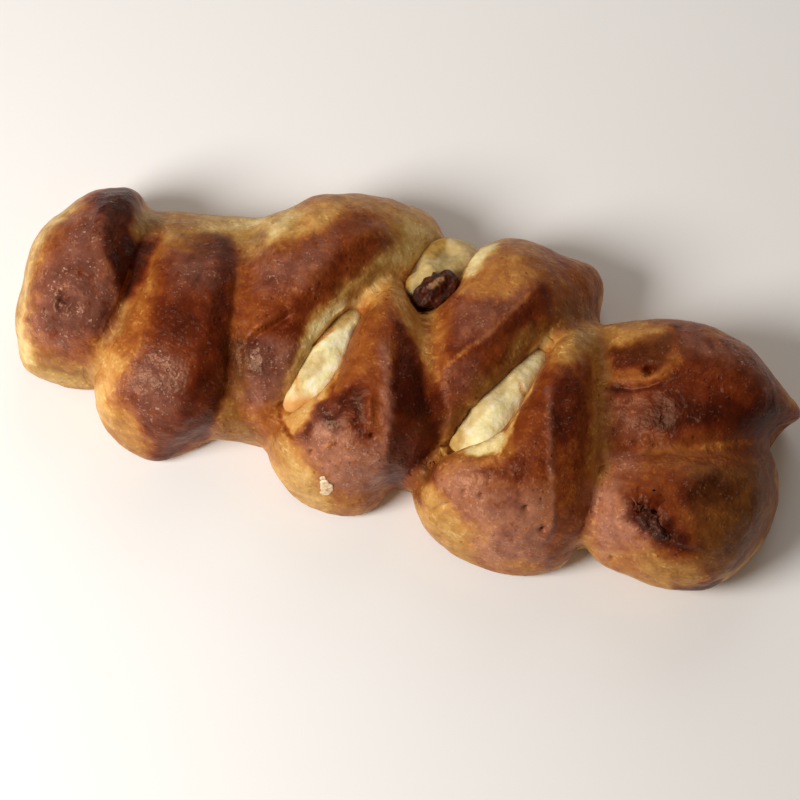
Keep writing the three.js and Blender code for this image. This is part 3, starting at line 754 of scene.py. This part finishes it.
        "sixthFoot": ([(412, 486), (430, 482), (446, 512), (470, 540), (480, 570), (430, 550)], 4, 0.35),
        "junction": ([(138, 202), (162, 212), (168, 236), (130, 240)], 4, 0.9),
        "junctionLow": ([(120, 304), (132, 300), (122, 330), (104, 352), (92, 380), (88, 366), (104, 336)], 4, 0.6),
        "secondFar": ([(158, 212), (262, 212), (268, 240), (230, 244), (164, 248)], 6, 0.55),
        "groove": ([(228, 342), (242, 340), (246, 380), (244, 420), (270, 444), (210, 444), (220, 420)], 5, 0.7),
        "thirdFar": ([(204, 214), (300, 206), (296, 236), (246, 258), (236, 240)], 6, 0.8),
        "thirdFlank": ([(400, 210), (446, 236), (452, 256), (414, 262), (388, 274), (350, 306), (308, 350),
            (284, 396), (276, 400), (300, 340), (346, 286), (384, 258)], 6, 0.8),
        "cleftEdge": ([(300, 350), (308, 322), (332, 302), (352, 300), (352, 322), (330, 330), (318, 350), (306, 372),
            (290, 398), (284, 396)], 2, 1.0),
        "secondCleftEdge": ([(452, 440), (470, 405), (492, 386), (510, 372), (530, 345), (550, 334), (540, 352),
            (520, 372), (500, 396), (474, 420), (460, 452)], 2.5, 1.0),
        "fifthFlank": ([(518, 336), (546, 318), (554, 334), (536, 348), (500, 394), (460, 420), (424, 488),
            (416, 478), (450, 410), (500, 368)], 5, 0.7),
        "fifthCorner": ([(546, 306), (596, 304), (592, 324), (552, 332)], 5, 0.5),
        "sixthApex": ([(550, 338), (600, 322), (600, 350), (560, 362)], 6, 0.35),
        "farGold": ([(600, 324), (672, 320), (684, 356), (668, 372), (600, 350)], 6, 0.4),
        "endGroove": ([(650, 440), (768, 438), (772, 460), (700, 458), (650, 458)], 5, 0.25),
        "nearRight": ([(690, 462), (772, 460), (778, 520), (730, 580), (690, 566), (690, 530)], 8, 0.6),
        "nearFoot": ([(640, 560), (700, 562), (700, 588), (650, 586)], 6, 0.5),
    },
}


def pullOutline(piece):
    level = np.array(viewLevel) / math.sin(photoView["rise"])
    spots = pointsOf(piece)
    pixels = pixelsOf(spots)
    for place, reach, (out, down) in dough["pulls"].values():
        share = hump(np.linalg.norm(pixels - place, axis=1), reach)
        spots += share[:, None] * (np.array(viewRight) * out - level * down) * photoView["pixelSize"]
    movePoints(piece, spots)


def thinUnderside(piece):
    # fewer faces where the bun lies on the table
    low = (normalsOf(piece)[:, 2] < dough["downFacing"]) | (pointsOf(piece)[:, 2] < dough["lowest"])
    kept = 1 - dough["thinning"] * 2 * low.sum() / triangles(piece)
    modifyWhere(piece, low, "DECIMATE", ratio=kept, vertex_group_factor=1000)


def refineFolds(piece):
    # a finer mesh along the narrow folds and round the holes
    pixels = pixelsOf(pointsOf(piece))
    near = np.zeros(len(pixels), bool)
    lines = [path for path, width, height in dough["ridges"].values() if width < dough["fineWidth"]]
    lines += [[place, place] for place in dough["pinholes"] + [dough["pit"][0]]]
    for line in lines:
        near |= lineGap(pixels, line) < dough["fineReach"]
    near &= facing(piece) > dough["reliefFacing"][0]
    select(piece)
    bpy.ops.object.mode_set(mode="EDIT")
    bpy.ops.mesh.select_mode(type="VERT")
    bpy.ops.mesh.select_all(action="DESELECT")
    bpy.ops.object.mode_set(mode="OBJECT")
    piece.data.vertices.foreach_set("select", near)
    bpy.ops.object.mode_set(mode="EDIT")
    bpy.ops.mesh.select_mode(type="VERT")
    bpy.ops.mesh.subdivide(number_cuts=1)
    bpy.ops.mesh.vertices_smooth(factor=0.5, repeat=2)
    bpy.ops.object.mode_set(mode="OBJECT")
    bpy.ops.object.shade_smooth()


def softenSpots(piece):
    # where two lobes meet in a ragged gap
    pixels = pixelsOf(pointsOf(piece))
    near = np.zeros(len(pixels), bool)
    for place, reach in dough["softSpots"]:
        near |= np.linalg.norm(pixels - place, axis=1) < reach
    modifyWhere(piece, near, "SMOOTH", factor=0.5, iterations=dough["spotSoftenings"])


def shapeDough(piece):
    spots = pointsOf(piece)
    upper = eased(facing(piece), *dough["reliefFacing"]) * eased(spots[:, 2], *dough["reliefHeight"])
    lift = np.zeros(len(spots))
    for size, height, seed in dough["lumps"]:
        lift += noiseAt(spots, size * mm, seed) * height * mm * eased(spots[:, 2], *dough["lumpHeight"])
    for pixels, width, height in dough["ridges"].values():
        distance, along = strokeDistance(spots, strokePath(piece, pixels))
        ends = eased(along, -0.1, 0.2) * (1 - eased(along, 0.8, 1.1))  # a ridge fades out at both ends
        lift += height * mm * hump(distance, width * 0.5 * mm) * ends * upper
    holes = [(pixel, *dough["pinhole"]) for pixel in dough["pinholes"]] + [dough["pit"]]
    for pixel, radius, depth in holes:
        distance, along = strokeDistance(spots, strokePath(piece, [pixel]))
        lift += depth * mm * hump(distance, radius * 0.75 * mm) * upper
    movePoints(piece, np.clip(spots + normalsOf(piece) * lift[:, None], cadLow, cadHigh))


def paintDough(piece):
    # how far the crust is browned, with painted shade in grooves, hollows and shaded flanks, how much painted sheen
    # it has, and how olive it is, each 0 to 1
    spots = pointsOf(piece)
    seen = eased(facing(piece), 0.0, dough["paintFacing"])
    ragged = wandered(spots, *dough["wander"]["fine"])
    finePixels = pixelsOf(ragged)
    linePixels = pixelsOf(wandered(spots, *dough["wander"]["line"]))
    broadPixels = pixelsOf(wandered(ragged, *dough["wander"]["broad"]))

    def shareOf(corners, feather):
        pixels = finePixels if feather < dough["fineFeather"] else broadPixels
        return areaShare(pixels, corners, feather * dough["softness"])

    heights, levels = zip(*dough["sides"])
    browning = np.interp(spots[:, 2] / mm, heights, levels)
    for corners, feather, level in dough["browning"].values():
        browning += (level - browning) * shareOf(corners, feather) * seen
    for corners, width, level in dough["browningAndShadeLines"].values():
        browning += (level - browning) * (1 - eased(lineGap(linePixels, corners), width * 0.4, width * 1.6)) * seen
    browning += sum(noiseAt(spots, size * mm, seed) * weight for size, seed, weight in dough["unevenTone"])
    storeAttribute(piece, "browning", np.clip(browning, 0, 1))
    olive = [(*dough["browning"][name][:2], level) for name, level in dough["alsoOlive"].items()]
    tints = {"rosy": ([], 0), "olive": (olive, dough["oliveBehind"])}
    for tint, (areas, behind) in tints.items():
        cover = np.zeros(len(spots)) + behind * (1 - seen)
        for corners, feather, level in [*dough[tint].values(), *areas]:
            cover = np.maximum(cover, level * shareOf(corners, feather) * seen)
        storeAttribute(piece, tint, cover)


# The crust's finish. Sizes of patterns are in millimetres.
crustLook = {
    "mottle": 3.2,
    "grain": 0.9,
    "pores": 2.6,
    "poreFields": 8,  # pores and granules come in patches of this size
    "granules": 1.1,
    "granuleFields": 5,
    "shading": {"mottle": 0.34, "grain": 0.18, "granules": -0.13, "pores": 0.08},
    "golden": [
        (0.0, (240, 206, 140)),
        (0.18, (216, 166, 94)),
        (0.36, (187, 126, 58)),
        (0.54, (154, 86, 33)),
        (0.72, (122, 54, 18)),
        (0.86, (94, 32, 8)),
        (1.0, (56, 10, 1)),
    ],
    # colours of the painted sheen, the mauve reflection of the sky on the crust
    "rosy": [(0.2, (226, 164, 118)), (0.5, (178, 118, 90)), (0.75, (126, 76, 60)), (1.0, (62, 22, 14))],
    "olive": [(0.0, (244, 228, 168)), (0.3, (188, 154, 86)), (0.6, (126, 88, 38)), (1.0, (52, 24, 4))],
    "oliveShare": 0.85,
    # colour of the painted glints, small painted highlights
    "glint": (216, 172, 144),
    "roughness": 0.36,
    "shine": 0.25,
    "shineTint": (1.0, 0.62, 0.38, 1),
    "relief": (0.7, 0.8),  # strength, and height in millimetres
}


def crustMaterial():
    graph = Graph("crust")
    look = crustLook
    # browning together with the painted shade of grooves, hollows and shaded flanks
    browning = graph.attribute("browning")
    paintedSheenAmount = graph.attribute("rosy")
    mottle = graph.noise(look["mottle"], 2, 0.55) - 0.5
    grain = graph.noise(look["grain"], 1, 0.5) - 0.5
    poreFields = graph.noise(look["poreFields"], 1, 0.5).between(0.4, 0.6)
    pores = (1 - graph.cells(look["pores"]).between(0.1, 0.22)) * poreFields
    granuleFields = graph.noise(look["granuleFields"], 1, 0.5).between(0.38, 0.6)
    granules = graph.noise(look["granules"], 1, 0.5).between(0.54, 0.7) * granuleFields
    middle = 0.3 + browning * (1 - browning) * 2.8  # most uneven where it is half browned
    patterns = {"mottle": mottle, "grain": grain, "granules": granules, "pores": pores}
    uneven = sum(pattern * look["shading"][name] for name, pattern in patterns.items())
    shade = (browning + middle * uneven).clamped()
    golden, rosy, olive = (graph.ramp(shade, look[name]) for name in ("golden", "rosy", "olive"))
    # painted sheen: a mauve reflection blended into the colour where the attribute marks it
    paintedSheenShare = paintedSheenAmount * graph.noise(2.6, 2, 0.6).between(0.2, 0.5)
    colour = graph.blend(paintedSheenShare, golden, rosy)
    colour = graph.blend(graph.attribute("olive") * look["oliveShare"], colour, olive)
    # painted glints: small light specks mixed into the colour as painted highlights, most where the painted sheen is
    glints = graph.noise(0.9, 2, 0.6).between(0.58, 0.7) * graph.noise(6, 1, 0.5).between(0.4, 0.6)
    colour = graph.blend(glints * (0.12 + paintedSheenAmount * 0.4), colour, (*linear(*look["glint"]), 1))
    height = grain * 0.2 + granules * 0.12 - pores * 0.3 + graph.noise(3.4, 2, 0.5)
    return graph.finish({
        "Base Color": colour,
        "Roughness": look["roughness"] + graph.noise(1.6, 2, 0.5) * 0.16 - paintedSheenAmount * 0.12,
        "Specular IOR Level": look["shine"],
        "Specular Tint": look["shineTint"],
        "Normal": graph.bump(height, *look["relief"]),
    })


def makeDough():
    piece = mergedCopy("braided_dough", "bakedDough")
    remeshed(piece, dough["voxel"], dough["softenings"])
    rounded(piece, dough["roundings"], dough["crease"])
    crisped(piece, dough["crisping"], dough["crispSoftenings"])
    pullOutline(piece)
    thinUnderside(piece)
    refineFolds(piece)
    softenSpots(piece)
    shapeDough(piece)
    paintDough(piece)
    piece.data.materials.append(crustMaterial())
    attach(piece, "root")
    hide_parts("braided_dough")
    print("dough:", triangles(piece), "triangles")
    return piece


# The cream that shows in the three clefts, curdled and wet, browned where the oven reached it.
cream = {
    "voxel": 0.6 * mm,
    "softenings": 36,
    "lastSoftenings": 5,
    "swell": 1.3 * mm,  # out to the dough it is baked onto
    "leftSwell": 0.3 * mm,  # more on its left, where it runs up the dough
    "topHeight": (18 * mm, 22 * mm),  # the tongues alone are shaped, from here up
    "lumps": [(8, 0.5, 11), (3.6, 0.35, 12)],
    "pushes": {  # where it wells up: at, reach in pixels, rise in mm
        "firstLow": ((302, 380), 14, 1.0),
        "firstEnd": ((294, 400), 8, 1.0),
        "firstMiddle": ((322, 350), 14, 0.7),
        "secondLow": ((486, 438), 18, 1.6),
        "secondMiddle": ((496, 410), 14, 0.9),
        "secondCorner": ((443, 453), 9, -2.2),
        "secondFoot": ((488, 446), 13, 2.4),
        "secondLeft": ((462, 418), 12, -1.2),
        "thirdFar": ((448, 238), 24, -4.0),
        "thirdLeft": ((412, 262), 13, -3.2),
        "thirdRight": ((474, 262), 16, 2.0),
        "thirdCurdC": ((432, 268), 5, 0.7),
        "thirdCurd": ((424, 264), 8, 0.9),
        "thirdCurdB": ((440, 258), 6, 0.6),
    },
    "toasted": {  # 0 fresh, 1 golden brown
        "firstEnd": ([(278, 420), (282, 398), (300, 394), (318, 398), (306, 420), (290, 430)], 7, 0.9),
        "secondEnd": ([(452, 452), (470, 456), (500, 450), (504, 462), (450, 466)], 3, 0.8),
    },
    "olive": {  # where it is thin and dull
        "firstUpper": ([(284, 372), (296, 346), (306, 326), (320, 306), (340, 292), (366, 298), (354, 318),
            (344, 326), (330, 333), (320, 341), (310, 354), (300, 372), (292, 390), (284, 396)], 4, 0.9),
        "secondUpper": ([(508, 400), (516, 350), (548, 332), (550, 356), (534, 392), (522, 400)], 4, 0.3),
        "secondLeft": ([(440, 456), (450, 428), (474, 402), (500, 380), (516, 352), (532, 336), (552, 328),
            (540, 348), (524, 370), (510, 392), (496, 402), (482, 416), (470, 430), (460, 452)], 4, 0.6),
        "firstLeft": ([(290, 396), (298, 376), (304, 362), (312, 352), (323, 350), (326, 362), (318, 374), (306, 380),
            (302, 396)], 3, 0.6),
        "secondTip": ([(438, 462), (446, 436), (464, 418), (467, 436), (462, 456)], 7, 0.9),
        "secondAll": ([(440, 462), (470, 400), (520, 330), (556, 326), (550, 370), (510, 440), (496, 462)], 4, 0.22),
        "third": ([(390, 304), (394, 226), (452, 226), (448, 250), (436, 264), (424, 257), (415, 266), (412, 292)],
            5, 1.0),
        "thirdLow": ([(400, 240), (500, 230), (500, 290), (440, 296), (404, 290)], 6, 0.7),
    },
    "cracks": {  # thin lines: pixels, width in pixels, depth in mm
        "firstUpper": ([(317, 349), (324, 341), (334, 329)], 1.3, 0.8),
        "firstLow": ([(303, 371), (301, 381), (301, 390)], 1.0, 0.6),
        "second": ([(519, 382), (521, 391), (526, 400)], 1.3, 0.6),
    },
    "fresh": [(0.3, (239, 221, 157)), (0.5, (248, 239, 184)), (0.68, (253, 247, 218))],
    "dull": [(0.3, (164, 122, 52)), (0.6, (196, 154, 76)), (0.8, (216, 180, 102))],
    "brown": (214, 150, 74),
}


def creamMaterial():
    graph = Graph("cream")
    cloud = graph.noise(2.2, 3, 0.55)
    fresh, dull = (graph.ramp(cloud, cream[name]) for name in ("fresh", "dull"))
    dullness = graph.attribute("olive")
    colour = graph.blend(dullness, fresh, dull)
    colour = graph.blend(graph.attribute("toasted"), colour, (*linear(*cream["brown"]), 1))
    return graph.finish({
        "Base Color": colour,
        "Roughness": 0.2 + graph.noise(2.2, 2, 0.5) * 0.3 + dullness * 0.3,
        "Specular IOR Level": 0.3,
        "Specular Tint": (1.0, 0.84, 0.6, 1),
        "Subsurface Weight": 0.15,
        "Subsurface Radius": (1.0, 0.75, 0.4),
        "Subsurface Scale": 1.2 * mm,
        "Normal": graph.bump(graph.noise(2.0, 2, 0.5), 0.5, 0.7),
    })


def makeCream():
    piece = mergedCopy("cream_filling", "creamFilling")
    remeshed(piece, cream["voxel"], cream["softenings"])
    spots = pointsOf(piece)
    normals = normalsOf(piece)
    lift = cream["swell"] * (1 - normals[:, 2] * 0.8)  # less on top than at the sides
    lift += cream["leftSwell"] * eased(-normals @ np.array(viewRight), -0.1, 0.6)
    top = eased(spots[:, 2], *cream["topHeight"])
    for size, height, seed in cream["lumps"]:
        lift += noiseAt(spots, size * mm, seed) * height * mm * top
    pixels = pixelsOf(spots)
    for place, reach, rise in cream["pushes"].values():
        lift += hump(np.linalg.norm(pixels - place, axis=1), reach) * rise * mm * top
    crack = np.zeros(len(spots))
    for corners, width, depth in cream["cracks"].values():
        near = hump(lineGap(pixels, corners), width) * top
        crack = np.maximum(crack, near)
        lift -= near * depth * mm
    movePoints(piece, spots + normals * lift[:, None])
    soften(piece, cream["lastSoftenings"])
    movePoints(piece, np.clip(pointsOf(piece), cadLow, cadHigh))
    pixels = pixelsOf(pointsOf(piece))
    for tint, cover in (("toasted", crack), ("olive", np.zeros(len(spots)))):
        for corners, feather, level in cream[tint].values():
            cover = np.maximum(cover, level * areaShare(pixels, corners, feather))
        storeAttribute(piece, tint, cover)
    piece.data.materials.append(creamMaterial())
    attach(piece, "root")
    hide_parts("cream_filling")
    print("cream:", triangles(piece), "triangles")


# The raisins, wrinkled and glossy, with a little cream baked onto the first.
raisins = {
    "voxel": 0.3 * mm,
    "softenings": 2,
    "wrinkles": [(3.2, 0.7), (1.5, 0.4)],  # size and depth
    "seeds": {"raisin_1": 21, "raisin_2": 22},
    "swell": {"raisin_1": 0.2 * mm, "raisin_2": -0.4 * mm},
    "names": {"raisin_1": "cleftRaisin", "raisin_2": "crustRaisin"},
    "creamSmear": {"raisin_1": ([(430, 286), (436, 282), (440, 279)], 1.1 * mm), "raisin_2": None},
    "skin": [(0.3, (38, 11, 5)), (0.6, (74, 29, 14)), (0.8, (116, 62, 38))],
    "smearColour": (150, 108, 66),
}


def raisinMaterial():
    graph = Graph("raisin")
    smear = graph.attribute("smear") * graph.noise(1.8, 1, 0.5).between(0.3, 0.5)
    colour = graph.ramp(graph.noise(1.6, 3, 0.6), raisins["skin"])
    colour = graph.blend(smear, colour, (*linear(*raisins["smearColour"]), 1))
    return graph.finish({
        "Base Color": colour,
        "Roughness": 0.3 + graph.noise(0.8, 2, 0.5) * 0.3,
        "Specular IOR Level": 0.35,
        "Specular Tint": (1.0, 0.75, 0.6, 1),
        "Normal": graph.bump(graph.noise(1.0, 4, 0.6), 0.7, 0.4),
    })


def makeRaisins():
    material = raisinMaterial()
    for node, name in raisins["names"].items():
        piece = mergedCopy(node, name)
        remeshed(piece, raisins["voxel"], raisins["softenings"])
        spots = pointsOf(piece)
        lift = np.full(len(spots), raisins["swell"][node])
        for size, height in raisins["wrinkles"]:
            folds = np.abs(noiseAt(spots, size * mm, raisins["seeds"][node]))
            lift += (0.2 - folds) * height * mm * 2
        movePoints(piece, spots + normalsOf(piece) * lift[:, None])
        cover = np.zeros(len(spots))
        if raisins["creamSmear"][node]:
            line, width = raisins["creamSmear"][node]
            distance, along = strokeDistance(spots, strokePath(piece, line))
            cover = 1 - eased(distance, width * 0.5, width * 1.15)
        storeAttribute(piece, "smear", cover)
        piece.data.materials.append(material)
        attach(piece, "root")
        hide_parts(node)
    print("raisins made")


# A speck of cream dried onto the crust, of overlapping bits.
driedCream = {
    "bits": [  # pixel, length, width and thickness in millimetres, turn in degrees
        ((323, 478), (1.8, 1.3, 0.6), 75),
        ((324, 482), (2.6, 2.0, 0.6), 40),
        ((327, 486), (3.6, 3.0, 0.7), 30),
        ((326, 490), (3.4, 2.8, 0.7), 100),
        ((324, 493), (2.2, 1.8, 0.5), 10),
        ((329, 489), (2.6, 2.2, 0.6), 60),
    ],
    "standing": 0.2,  # of its thickness, above the crust
    "lumps": (0.9 * mm, 0.3 * mm, 51),
    "colours": [(0.35, (206, 164, 120)), (0.65, (240, 220, 188))],
}


def driedCreamMaterial():
    graph = Graph("driedCream")
    colour = graph.ramp(graph.noise(1.2, 2, 0.5), driedCream["colours"])
    return graph.finish({"Base Color": colour, "Roughness": 0.3})


def makeDriedCream(crust):
    bits = []
    for pixel, size, turn in driedCream["bits"]:
        spot, normal = surfaceAt(crust, pixel)
        bpy.ops.mesh.primitive_ico_sphere_add(subdivisions=4, radius=0.5 * mm)
        bit = bpy.context.active_object
        bit.scale = size
        bit.rotation_mode = "QUATERNION"
        bit.rotation_quaternion = normal.to_track_quat("Z", "Y") @ Quaternion((0, 0, 1), math.radians(turn))
        bit.location = spot + normal * size[2] * driedCream["standing"] * mm
        bits.append(bit)
    select(bits[0])
    for bit in bits:
        bit.select_set(True)
    bpy.ops.object.transform_apply(location=True, rotation=True, scale=True)
    bpy.ops.object.join()
    piece = bpy.context.active_object
    piece.name = "driedCream"
    bpy.ops.object.shade_smooth()
    spots = pointsOf(piece)
    size, height, seed = driedCream["lumps"]
    bend = noiseAt(spots, size, seed) * height
    movePoints(piece, spots + normalsOf(piece) * bend[:, None])
    piece.data.materials.append(driedCreamMaterial())
    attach(piece, "root")
    print("dried cream made")


# Floor and light. Lights stand to the camera's right, further back and up, in metres.
studio = {
    "floor": 3.0,
    "floorDrop": 0.05 * mm,
    "floorColour": (246, 245, 243),
    "skyColour": (244, 228, 208),
    "skyStrength": 0.2,
    "key": {"from": (-0.42, -0.2, 0.42), "size": 0.3, "power": 4.0, "colour": (1.0, 0.97, 0.94)},
    "fill": {"from": (0.1, 0.5, 0.4), "size": 0.5, "power": 0.85, "colour": (0.96, 0.97, 1.0)},
}


def makeLight(name, light):
    aside, away, above = light["from"]
    data = bpy.data.lights.new(name, "AREA")
    data.shape = "DISK"
    data.size = light["size"]
    data.energy = light["power"]
    data.color = light["colour"]
    lamp = bpy.data.objects.new(name, data)
    bpy.context.scene.collection.objects.link(lamp)
    lamp.location = viewRight * aside + viewLevel * away + Vector((0, 0, above))
    lamp.rotation_mode = "QUATERNION"
    lamp.rotation_quaternion = lamp.location.to_track_quat("Z", "Y")


def makeStudio():
    bpy.ops.mesh.primitive_plane_add(size=studio["floor"], location=(0, 0, -studio["floorDrop"]))
    floor = bpy.context.active_object
    floor.name = "paleFloor"
    colour = (*linear(*studio["floorColour"]), 1)
    floor.data.materials.append(Graph("paleFloor").finish({"Base Color": colour, "Roughness": 0.8}))
    world = bpy.data.worlds.new("softSky")
    world.use_nodes = True
    sky = world.node_tree.nodes["Background"]
    sky.inputs["Color"].default_value = (*linear(*studio["skyColour"]), 1)
    sky.inputs["Strength"].default_value = studio["skyStrength"]
    bpy.context.scene.world = world
    makeLight("windowLight", studio["key"])
    makeLight("fillLight", studio["fill"])
    print("studio made")


makeCamera()
bpy.context.scene.view_settings.view_transform = "Standard"
bpy.context.view_layer.update()
crust = makeDough()
makeCream()
makeRaisins()
makeDriedCream(crust)
makeStudio()
